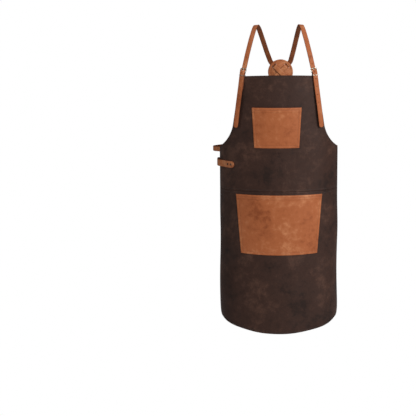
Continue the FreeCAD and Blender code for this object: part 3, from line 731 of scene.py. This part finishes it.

# %% [markdown]
# Waxed thread runs along every cut edge of the body, six millimetres in, and twice along
# the waist seam. Each stitch is its own small capsule sunk into the groove, so the seams
# keep their depth in a close view.

# %% Stitching of the body
sunk = 0.12 - groove_depth
top_places = spread(-bib_half_width + 7, bib_half_width - 7, 6)
edge_lines = [seam_line(top_places, top_edge_z(top_places) - stitch_inset, sunk)]
inner = (rows + inset * stitch_inset)[4:-4]
levels = spread(skirt_top - 7, float(hem_outline(edge_place)) + 8, 8)
for side in (-1, 1):
    edge_lines.append(seam_line(side * inner[:, 0], inner[:, 1], sunk))
    edge_lines.append(seam_line(side * (edge_place - stitch_inset), levels, sunk))
hem_places = spread(-edge_place + stitch_inset, edge_place - stitch_inset, 4)
edge_lines.append(seam_line(hem_places, hem_outline(hem_places) + stitch_inset, sunk))
seam_places = spread(-edge_place + 3, edge_place - 3, 8)
for level in (seam_z + stitch_inset, skirt_top - stitch_inset):
    edge_lines.append(seam_line(seam_places, level, sunk))
body_stitching = stitches("body_stitching", edge_lines, brown_thread, pitch=4.6, half_length=1.6)
flat_area(bib_outline)
flat_area(skirt_outline)
for word, flat in (("bib", bib_outline), ("skirt", skirt_outline)):
    print(word, round(flat_area(flat), 4), "m2")

# %% [markdown]
# Each shoulder strap is a ribbon of 16 mm leather. Its route is the CAD part's: up from
# the tail, through the buckle, over the shoulder, through the round crossing piece and
# down to the opposite waist corner. The ribbon's section carries the two creased lines
# that a maker presses along the edges, and the buckle holes are punched right through.


# %% A ribbon along a rounded route
def headings(before, corner, after):
    """The directions into and out of a corner, and the turn between them."""
    ahead, leaving = unit(corner - before), unit(after - corner)
    return ahead, leaving, math.acos(float(np.clip(ahead @ leaving, -1, 1)))


class Ribbon:
    """A strap's middle line through route points, each with a bend radius and a normal."""

    def __init__(self, route):
        points = [np.asarray(spot, float) for spot, radius, normal in route]
        line, marks = [points[0]], [0]
        for i in range(1, len(points) - 1):
            arc = self.bend(*points[i - 1:i + 2], route[i][1])
            line += arc
            marks.append(len(line) - 1 - len(arc) // 2)
        self.line = np.array([*line, points[-1]])
        self.lengths = lengths_of(self.line)
        self.marks = self.lengths[[*marks, -1]]
        self.hints = np.array([normal for spot, radius, normal in route], float)
        self.full = float(self.lengths[-1])

    def bend(self, before, corner, after, radius):
        ahead, leaving, turn = headings(before, corner, after)
        if radius == 0 or turn < 1e-4:
            return [corner]
        room = 0.48 * min(np.linalg.norm(corner - before), np.linalg.norm(after - corner))
        steps = 2 * max(1, math.ceil(math.degrees(turn) / 8))
        return rounded(corner, ahead, leaving, turn, min(radius, room / math.tan(turn / 2)),
                       steps + 1)

    def spots(self, lengths):
        return at_lengths(np.clip(lengths, 0, self.full), self.lengths, self.line)

    def frames(self, lengths, soften=0.0):
        """Places, headings, normals and width directions at lengths along the strap."""
        lengths = np.asarray(lengths, float)
        reach = np.minimum(np.minimum(lengths, self.full - lengths), soften)
        place = np.mean([self.spots(lengths + reach * s) for s in np.linspace(-1, 1, 9)], axis=0)
        heading = unit(self.spots(lengths + 1.0) - self.spots(lengths - 1.0))
        hint = np.mean([at_lengths(np.clip(lengths + s, 0, self.full), self.marks, self.hints)
                        for s in (-4, 0, 4)], axis=0)
        across = unit(np.cross(heading, hint))
        return place, heading, np.cross(across, heading), across


def strap_section(width, thickness, crease=2.2, crease_depth=0.28):
    """A strap's outline across its width, with creased lines in front, and its finishes."""
    w, t = width / 2, thickness / 2
    front = [(-w, 0.0), (-w + .18, .62 * t), (-w + .7, .95 * t), (-w + crease - .45, t),
             (-w + crease, t - crease_depth), (-w + crease + .45, t), (-.34 * w, t), (0, t)]
    front += [(-a, b) for a, b in front[-2::-1]]
    back = [(w - .18, -.62 * t), (w - .7, -.95 * t), (.4 * w, -t)]
    points = np.array(front + back + [(0, -t)] + [(-a, b) for a, b in reversed(back)])
    marks = []
    for (a, b), (c, d) in zip(points, np.roll(points, -1, axis=0)):
        near = max(abs(a), abs(c)) > w - .5
        marks.append(EDGE if near else FACE if b + d > 0 else FLESH)
    return points, marks


def sweep(name, frames, section, finishes, sizes=1.0, closed=False, body="apron"):
    """Sweeps a section along frames; sizes scale its width at each station."""
    place, heading, normal, across = frames
    outline, marks = section
    sizes = np.broadcast_to(sizes, len(place))[:, None]
    wide, deep = outline[:, 0] * sizes, outline[:, 1] * np.minimum(1, sizes * 4)
    points = (place[:, None] + across[:, None] * wide[..., None]
              + normal[:, None] * deep[..., None]).reshape(-1, 3)
    faces = band_faces(len(place), len(outline), closed)
    marks = (marks * len(place))[:len(faces) - (0 if closed else 2)]
    return add_mesh(name, points, faces, finishes, marks + [EDGE] * (len(faces) - len(marks)), body)


def round_ends(lengths, half, both=False):
    """Stations with extra ones at the round start or ends, and the share of the width."""
    turns, far = np.radians([4, 10, 20, 32, 45, 58, 72, 90]), lengths[-1] if both else math.inf
    pairs = [(s, 1.0) for s in lengths if half * 1.05 < s < far - half * 1.05]
    pairs += [(half * (1 - math.cos(t)), math.sin(t)) for t in turns]
    if both:
        pairs += [(far - half * (1 - math.cos(t)), math.sin(t)) for t in turns]
    return np.array(sorted(pairs)).T


# %% Cutters for holes and slots
def cut_away(piece, cutters):
    """Cuts closed meshes out of a piece and applies the result."""
    for cutter in cutters:
        step = piece.modifiers.new("cut", "BOOLEAN")
        step.operation, step.solver, step.object = "DIFFERENCE", "EXACT", cutter
    depsgraph = bpy.context.evaluated_depsgraph_get()
    cut = bpy.data.meshes.new_from_object(piece.evaluated_get(depsgraph))
    piece.modifiers.clear()
    piece.data = cut
    smooth(cut)
    for cutter in cutters:
        bpy.data.objects.remove(cutter)


def pin(frames, radius, depth, slot=0.0):
    """A cutter along the first frame's normal: round, or as long as slot along the strap."""
    place, heading, normal, across = (values[0] for values in frames)
    turns = circle(28)
    shift = np.where(np.cos(turns) >= 0, slot / 2, -slot / 2)
    ring = (place + heading * (radius * np.cos(turns) + shift)[:, None]
            + across * (radius * np.sin(turns))[:, None])
    points = np.concatenate((ring - normal * depth, ring + normal * depth))
    faces = [tuple(range(27, -1, -1)), tuple(range(28, 56))]
    faces += [(i, (i + 1) % 28, 28 + (i + 1) % 28, 28 + i) for i in range(28)]
    return add_mesh("cutter", points, faces, TAN[EDGE:])


def block(spot, low, high):
    """A cutter between two corners, each given as the three numbers that spot() takes."""
    points = [spot(rise, out, along) for along in (low[2], high[2])
              for out in (low[1], high[1]) for rise in (low[0], high[0])]
    faces = [(0, 2, 3, 1), (4, 5, 7, 6), (0, 1, 5, 4), (2, 6, 7, 3), (0, 4, 6, 2), (1, 3, 7, 5)]
    return add_mesh("cutter", points, faces, TAN[EDGE:])


# %% Places at the bib's two top corners
chape_place, chape_tilt = 117.0, math.radians(7.4)
chape_length, chape_thickness, heel_rise = 46.0, 1.8, 10.2
buckle_wire, buckle_lean, buckle_reach, buckle_corner = 2.4, math.radians(12), 13.6, 3.0
keeper_wire, strap_gap, pivot_gap, lay_gap, bar_ease = 1.6, 0.30, 0.08, 0.15, 0.55
rivet_drops, rivet_head, rivet_head_height = (13.0, 33.0), 7.0, 1.2
fold_inner = max(buckle_wire / 2 + pivot_gap, leather / 2 + lay_gap)
fold_outer = fold_inner + chape_thickness
half_strap = strap_thickness / 2
mid_out = -leather / 2
over_fold_out = mid_out + fold_outer + strap_gap + half_strap + 0.5
over_rivets_out = mid_out + fold_outer + rivet_head_height + strap_gap + half_strap
keeper_half = strap_width / 2 + strap_gap + keeper_wire / 2
edge_slope = math.sin(chape_tilt) + 2 * bib_arch * chape_place / bib_half_width ** 2
keeper_rise = keeper_wire / 2 + strap_gap + keeper_half * edge_slope


class Corner:
    """Directions and places at one bib corner; side is -1 on the left, 1 on the right."""

    def __init__(self, side):
        drop = chape_length / 2
        angle = side * float(angle_at(chape_place + drop * math.sin(chape_tilt)))
        self.side, self.normal = side, outward(angle)
        level = np.array((math.cos(angle), math.sin(angle), 0.0))
        lean = -side * chape_tilt
        self.up = up * math.cos(lean) + level * math.sin(lean)
        self.across = -np.cross(self.up, self.normal)
        height = float(top_edge_z(chape_place)) - drop * math.cos(chape_tilt)
        self.root = section_point(angle, leather, height) + self.up * drop
        self.heel = self.spot(heel_rise, mid_out)
        cosine, sine = math.cos(buckle_lean), math.sin(buckle_lean)
        self.frame_up = self.up * cosine - self.normal * sine
        self.frame_out = self.normal * cosine + self.up * sine

    def spot(self, rise, out, along=0.0):
        return self.root + self.up * rise + self.normal * out + self.across * along

    def frame_spot(self, rise, out, along=0.0):
        return self.heel + self.frame_up * rise + self.frame_out * out + self.across * along


corners = {"left": Corner(-1), "right": Corner(1)}

# %% The route of a strap, the same as the CAD part's
shoulder_half_span, shoulder_depth = 71.5, 6.0
tail_drop, tail_stand_off, end_drop = 168.0, 8.0, 247.5
side_bulge = {-1: 25.0, 1: 1.0}
disc_diameter, disc_thickness, disc_depth, disc_shift, disc_rise = 83.0, 3.0, 100.0, 6.5, -2.0
slot_radius, slot_length, slot_side_gap = 29.0, 7.2, 0.2
disc_centre = np.array((disc_shift, disc_depth, bib_top + disc_rise))


def between(start, end, shares, radius, leans):
    """Route points at shares of the way from start to end, each with its lean."""
    return [(start + (end - start) * np.array(share), radius, lean)
            for share, lean in zip(shares, leans)]


def strap_route(corner):
    side, normal = corner.side, corner.normal
    tail_end = -(tail_drop - bib_arch)
    behind = buckle_wire / 2 + strap_gap + half_strap + bar_ease
    past_bar = corner.frame_spot(buckle_reach + 9, -behind - 1.2)
    rivet_rise = -rivet_drops[0] + rivet_head / 2
    route = [(corner.spot(tail_end, tail_stand_off - 0.5), 0, normal),
             (corner.spot(tail_end * 0.6, tail_stand_off), 400, normal),
             (corner.spot(rivet_rise - 28, over_rivets_out + 0.4), 150, normal),
             (corner.spot(rivet_rise, over_rivets_out), 60, normal),
             (corner.spot(heel_rise + 1, over_fold_out), 7, normal),
             (corner.frame_spot(buckle_reach, -behind), 8, corner.frame_out),
             (past_bar, 12, corner.frame_out)]
    shoulder = np.array((side * shoulder_half_span, -shoulder_depth, half_strap))
    leans = ((side * .30, -.90, .30), (side * .25, -.80, .55), (side * .18, -.50, .85))
    route += between(past_bar, shoulder, ((.22, .12, .27), (.53, .36, .61), (.81, .68, .88)),
                     90, leans)
    route.append((shoulder, 45, (side * .10, 0, 1)))

    diagonal = np.array((side * math.sqrt(.5), 0, math.sqrt(.5)))

    def disc_spot(along, out):
        return disc_centre + diagonal * along + np.array((0, -out, 0))

    on_face = disc_thickness / 2 + strap_gap + half_strap
    over = on_face + strap_thickness + strap_gap if side < 0 else on_face
    rim, dive, ease = disc_diameter / 2 + 5, 4.2, strap_width / 2 + 2.5
    leans = ((side * .10, .40, .90), (side * .10, .80, .55), (0, 1, .25))
    route += between(shoulder, disc_spot(rim, -on_face),
                     ((.16, .33, .10), (.41, .65, .38), (.72, .89, .73)), 70, leans)
    weave = [(rim, -on_face, 20), (slot_radius + dive, -on_face, 5),
             (slot_radius - dive, on_face, 5)]
    if over != on_face:
        weave += [(ease + 5, on_face, 8), (ease, over, 8)]
    weave += [(-along, out, radius) for along, out, radius in reversed(weave)]
    route += [(disc_spot(along, out), radius, (0, 1, 0)) for along, out, radius in weave]

    far, bulge = -side, side_bulge[-side]
    level, seat = bib_top - end_drop, -lay_gap - half_strap
    for share, past, fall in ((.38, 4, .30), (.56, -4, .62), (.68, -12, .88)):
        spot = (far * share * torso_half_width, disc_depth + past, bib_top - fall * end_drop)
        route.append((spot, 120, (far * share, 1.2 - share, 0)))
    for past, y, rise, radius, lean in ((.25 * bulge - 16, 58, 2, 40, .6),
                                        (bulge + 1, 36, 0, 18, .2),
                                        (.86 * bulge + .5, 14, 0, 14, -.2)):
        spot = (far * (torso_half_width + past), y, level + rise)
        route.append((spot, radius, (far, lean, 0)))
    angles = [far * (edge_angle - math.radians(back)) for back in (0, 6, 15)]
    sewn = [section_point(angle, seat, level) for angle in angles]
    return route + [(sewn[0] + np.array((far * 0.4, 6, 0)), 20, (far, 0, 0)),
                    (sewn[1], 100, outward(angles[0])), (sewn[2], 0, outward(angles[2]))]


# %% Shoulder straps
strap_hole, hole_pitch, hole_steps = 3.5, 25.0, (-5, -4, -3, -2, -1, 1, 2)
prong_slot_width, prong_slot_run, prong_slot_lead = 4.0, 13.4, 0.7
section = strap_section(strap_width, strap_thickness)
for name, corner in corners.items():
    ribbon = Ribbon(strap_route(corner))
    stations, sizes = round_ends(spread(0, ribbon.full, 2.6), strap_width / 2)
    strap = sweep("shoulder_strap_" + name + "_leather", ribbon.frames(stations, 2.0), section,
                  TAN, sizes)
    samples = np.linspace(0, 260, 2600)
    gaps = np.linalg.norm(ribbon.spots(samples) - corner.spot(heel_rise, over_fold_out), axis=1)
    middle = float(samples[gaps.argmin()]) - prong_slot_lead + prong_slot_run / 2
    cutters = [pin(ribbon.frames([middle + hole_pitch * step]), strap_hole / 2, 4.0)
               for step in hole_steps]
    cutters.append(pin(ribbon.frames([middle]), prong_slot_width / 2, 6.0,
                       prong_slot_run - prong_slot_width))
    cut_away(strap, cutters)
    # Painted highlight: where the straps cross the disc, their flesh side is given the lighter tan
    # face finish, standing in for the light that falls there.
    for face in strap.data.polygons:
        reach = np.linalg.norm(np.array(face.center) / METRE - disc_centre)
        if reach < slot_radius - 2 and face.material_index == FLESH:
            face.material_index = FACE       # painted highlight: the flesh side takes the lighter face finish on the disc
    stands_for(strap, "shoulder_strap_" + name)
    print("strap", name, round(ribbon.full), "mm, holes", len(hole_steps))

# %% [markdown]
# The chape is a short strip folded over the buckle's heel bar and riveted through the
# bib. It is one ribbon too: up the front, round the bar and down the back, both ends
# round, with a slot at the fold for the prong.

# %% Chapes
chape_section = strap_section(strap_width, chape_thickness, crease=1.9, crease_depth=0.2)
slot_half = 2.3
for name, corner in corners.items():
    middle = (fold_inner + fold_outer) / 2
    rises = spread(-chape_length, heel_rise - 1, 2.5)
    path = [(rise, middle) for rise in rises]
    path += [(heel_rise + middle * math.sin(t), middle * math.cos(t))
             for t in np.linspace(0, math.pi, 15)]
    path += [(rise, -middle) for rise in rises[::-1]]
    line = np.array([corner.spot(rise, mid_out + out) for rise, out in path])
    lengths = lengths_of(line)
    stations, sizes = round_ends(lengths, strap_width / 2, both=True)
    line = at_lengths(stations, lengths, line)
    heading = unit(np.gradient(line, stations, axis=0))
    across = np.broadcast_to(-corner.across, line.shape)
    chape = sweep("chape_" + name + "_leather",
                  (line, heading, np.cross(across, heading), across), chape_section, TAN, sizes)
    cut_away(chape, [block(corner.spot, (heel_rise - fold_outer - 1, mid_out - 7, -slot_half),
                           (heel_rise + 7, mid_out + 7, slot_half))])
    stands_for(chape, "chape_" + name)
print("chapes", len(sizes), "stations each")

# %% [markdown]
# The buckle, its prong and the keeper are bent from plated wire. A tube swept round a
# closed, rounded path gives each bend the even radius of real wire. Turned pieces, such
# as the rivets, are a profile spun round its axis.


# %% Wire and turned metal
def wire_ring(name, spot, near, far, half, radii, arc_points, normal, wire, body):
    """Round wire bent to a rectangle; spot places its corners, radii round them."""
    points = [spot(a, b) for a, b in ((near, -half), (far, -half), (far, half), (near, half))]
    line = []
    for i, radius in enumerate(radii):
        way = headings(points[i - 1], points[i], points[(i + 1) % 4])
        line += rounded(points[i], *way, radius, arc_points)
    filled = []
    for start, end in zip(line, line[1:] + line[:1]):
        pieces = max(1, int(np.linalg.norm(end - start) // 1.5))
        filled += [start + (end - start) * k / pieces for k in range(pieces)]
    line = np.array(filled)
    heading = unit(np.roll(line, -1, axis=0) - np.roll(line, 1, axis=0))
    across = unit(np.cross(heading, normal))
    turns = circle(20)
    outline = wire / 2 * np.stack((np.cos(turns), np.sin(turns)), axis=1)
    piece = sweep(name, (line, heading, np.cross(across, heading), across),
                  (outline, [0] * 20), (old_nickel,), closed=True, body=body)
    face_outside(piece)
    return piece


def lathe(place, axis, profile, sides=32):
    """Points and faces of a profile of (radius, height), spun round an axis; ends on it."""
    axis = unit(axis)
    first = unit(np.cross(axis, (0.3, 0.2, 0.9)))
    second = np.cross(axis, first)
    points = [place + axis * profile[0][1]]
    for radius, height in profile[1:-1]:
        points += [place + axis * height + (first * math.cos(t) + second * math.sin(t)) * radius
                   for t in circle(sides)]
    points.append(place + axis * profile[-1][1])
    last = len(points) - 1
    faces = [tuple(v + 1 for v in face) for face in band_faces(len(profile) - 2, sides)[:-2]]
    for i in range(sides):
        j = (i + 1) % sides
        faces += [(0, 1 + j, 1 + i), (last - sides + i, last - sides + j, last)]
    return points, faces


# %% Prongs: a ring on the heel bar and a tapering pin
ring_inner = buckle_wire / 2 + pivot_gap
ring_outer = ring_inner + 1.0
ring_section = ((-1.5, ring_inner), (-1.3, ring_inner), (1.3, ring_inner), (1.5, ring_inner + .15),
                (1.5, ring_outer - .2), (1.25, ring_outer), (-1.25, ring_outer),
                (-1.5, ring_outer - .2))
pin_root, pin_tip = 1.05, 0.8


def make_prong(name, corner):
    ring = []
    for turn in circle(32):
        way = corner.frame_up * math.cos(turn) + corner.frame_out * math.sin(turn)
        ring += [corner.heel + corner.across * along + way * radius
                 for along, radius in ring_section]
    root = corner.frame_spot(0.6 * ring_outer, (ring_inner + ring_outer) / 2)
    tip = corner.frame_spot(buckle_reach + 1.4, buckle_wire / 2 + lay_gap / 3 + pin_tip)
    reach = float(np.linalg.norm(tip - root))
    needle = [(0, -pin_root)]
    needle += [(pin_root * math.sin(a), -pin_root * math.cos(a))
               for a in np.linspace(.3, math.pi / 2, 6)]
    needle += [(pin_tip + (pin_root - pin_tip) * (1 - s), reach * s)
               for s in np.linspace(.15, 1, 8)]
    needle += [(pin_tip * math.cos(a), reach + pin_tip * math.sin(a))
               for a in np.linspace(.3, 1.3, 5)] + [(0, reach + pin_tip)]
    prong = join_parts("buckle_prong_" + name + "_metal",
                       [(ring, band_faces(32, len(ring_section), closed=True)),
                        lathe(root, tip - root, needle, 20)], old_nickel, "prong_" + name)
    face_outside(prong)
    return prong


# %% Buckle frames, keepers and prongs of both sides
frame_half = strap_width / 2 + strap_gap + buckle_wire / 2
for name, corner in corners.items():
    buckle = wire_ring("buckle_frame_" + name + "_metal",
                       lambda rise, along: corner.frame_spot(rise, 0, along), 0, buckle_reach,
                       frame_half, (1.5, buckle_corner, buckle_corner, 1.5), 10,
                       corner.frame_out, buckle_wire, "buckle_" + name)
    stands_for(buckle, "buckle_frame_" + name)
    back_out = mid_out - fold_outer - strap_gap - keeper_wire / 2
    share = (heel_rise - keeper_rise) / (heel_rise + rivet_drops[0] - rivet_head / 2)
    tail_out = over_fold_out + (over_rivets_out - over_fold_out) * share
    front_out = tail_out + half_strap + strap_gap + keeper_wire / 2
    keeper = wire_ring("keeper_" + name + "_metal",
                       lambda out, along: corner.spot(keeper_rise, out, along), back_out,
                       front_out, keeper_half, (keeper_wire,) * 4, 8, corner.up, keeper_wire,
                       "keeper_" + name)
    stands_for(keeper, "keeper_" + name)
    stands_for(make_prong(name, corner), "buckle_prong_" + name)
print("buckles", round(buckle_reach), "mm reach, wire", buckle_wire, "mm")


# %% Rivets: domed caps in front and domed studs behind
def rivet_heads(node, places, head, out, direction):
    """Domed heads: a flat underside, a short rim and a crown with a soft lip."""
    radius, rim = head / 2, out + rivet_head_height * 0.35
    crown = out + rivet_head_height - rim
    dome = [(0, out), (radius - .25, out), (radius, out + .2), (radius, rim)]
    dome += [(radius * math.cos(a), rim + crown * math.sin(a)) for a in np.linspace(.18, 1.35, 8)]
    dome.append((0, rim + crown))
    piece = join_parts(node + "_metal", [lathe(place, normal * direction, dome)
                                         for place, normal in places], dark_nickel)
    face_outside(piece)
    stands_for(piece, node)


for name, corner in corners.items():
    places = [(corner.spot(-drop, mid_out), corner.normal) for drop in rivet_drops]
    rivet_heads("chape_rivet_caps_" + name, places, rivet_head, fold_outer, 1)
    rivet_heads("chape_rivet_studs_" + name, places, rivet_head, fold_outer, -1)

# %% [markdown]
# Behind the shoulders the straps weave through a round piece of the same tan leather. It
# is turned like a coin, with a soft rim and a pressed ring, and its four slots are cut
# through it.

# %% Round crossing piece
disc_radius, disc_half = disc_diameter / 2, disc_thickness / 2
rim = [(disc_radius - inward, rise - disc_half) for inward, rise in
       ((7.0, 0), (6.4, .4), (5.8, 0), (.9, 0), (.25, .45))]
disc_profile = [(0, -disc_half), *rim, (disc_radius, 0),
                *((radius, -rise) for radius, rise in reversed(rim)), (0, disc_half)]
disc_points, disc_faces = lathe(disc_centre, (0, -1, 0), disc_profile, 96)
disc = add_mesh("back_disc_leather", disc_points, disc_faces, TAN)
face_outside(disc)
cutters, wide = [], strap_width / 2 + slot_side_gap
for turn in np.radians((45, 135, 225, 315)):
    along = np.array((math.cos(turn), 0, math.sin(turn)))
    across = np.array((-math.sin(turn), 0, math.cos(turn)))
    slot_middle = disc_centre + along * slot_radius
    cutters.append(block(lambda a, out, b: slot_middle + along * a + (0, out, 0) + across * b,
                         (-slot_length / 2, -6, -wide), (slot_length / 2, 6, wide)))
    face_outside(cutters[-1])
cut_away(disc, cutters)
for face in disc.data.polygons:
    face.material_index = EDGE if abs(face.normal.y) < 0.5 else FACE
stands_for(disc, "back_disc")
print("crossing piece", disc_diameter, "mm across,", len(cutters), "slots")

# %% [markdown]
# A towel loop is riveted to the left side below the waist corner. It runs round the
# panel's edge, stands off it far enough to hold a cloth and comes back on the inner face.

# %% Towel loop and its rivets
loop_width, loop_thickness, loop_head = 22.0, 2.5, 6.0
loop_end, loop_rivets, loop_leave, loop_stand_off = 147.5, (160.0, 174.5), 200.0, 6.0
loop_level, loop_half = bib_top - 287.0, loop_thickness / 2
outside, inside = leather + lay_gap + loop_half, -lay_gap - loop_half
edge_x = float(section_point(-edge_angle, 0, 0)[0])
reach = edge_x - leather - loop_stand_off - loop_half
inner_x = edge_x + lay_gap + loop_half + 0.6
turn_radius = (inner_x - reach) / 2
route = [(section_point(-a, outside, loop_level), 0, outward(-a))
         for a in np.linspace(angle_at(loop_end), angle_at(loop_leave), 15)]
route += [((edge_x - leather - loop_stand_off / 2 + 3, -44, loop_level), 60,
           outward(-math.radians(70))),
          ((reach, -24, loop_level), 60, (-1, 0, 0)),
          ((reach, 6 + turn_radius, loop_level), turn_radius - 0.1, (-.7, .7, 0)),
          ((inner_x, 6 + turn_radius, loop_level), turn_radius - 0.1, (.7, .7, 0))]
route += [(section_point(-a, inside, loop_level), 0, -outward(-a))
          for a in np.linspace(edge_angle, angle_at(loop_rivets[0] - 10), 27)]
ribbon = Ribbon(route)
stations, sizes = round_ends(spread(0, ribbon.full, 2.0), loop_width / 2)
towel_loop = sweep("towel_loop_leather", ribbon.frames(stations, 1.2),
                   strap_section(loop_width, loop_thickness, 2.4), TAN, sizes)
stands_for(towel_loop, "towel_loop")
angles = [-float(angle_at(place)) for place in loop_rivets]
places = [(section_point(angle, 0, loop_level), outward(angle)) for angle in angles]
rivet_heads("towel_loop_rivet_caps", places, loop_head, leather + lay_gap + loop_thickness, 1)
rivet_heads("towel_loop_rivet_studs", places, loop_head, lay_gap + loop_thickness + 0.06, -1)
print("towel loop", round(ribbon.full), "mm of strap")

# %% [markdown]
# The closing lines print the two sizes: the box of the CAD model and the box of what is
# shown. The visual model may only stand a little proud of the first.

# %% Sizes and finish
shown_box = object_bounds()
for word, box in (("CAD", cad_box), ("shown", shown_box)):
    print(word, "box from", [round(v, 4) for v in box[0]], "to", [round(v, 4) for v in box[1]])
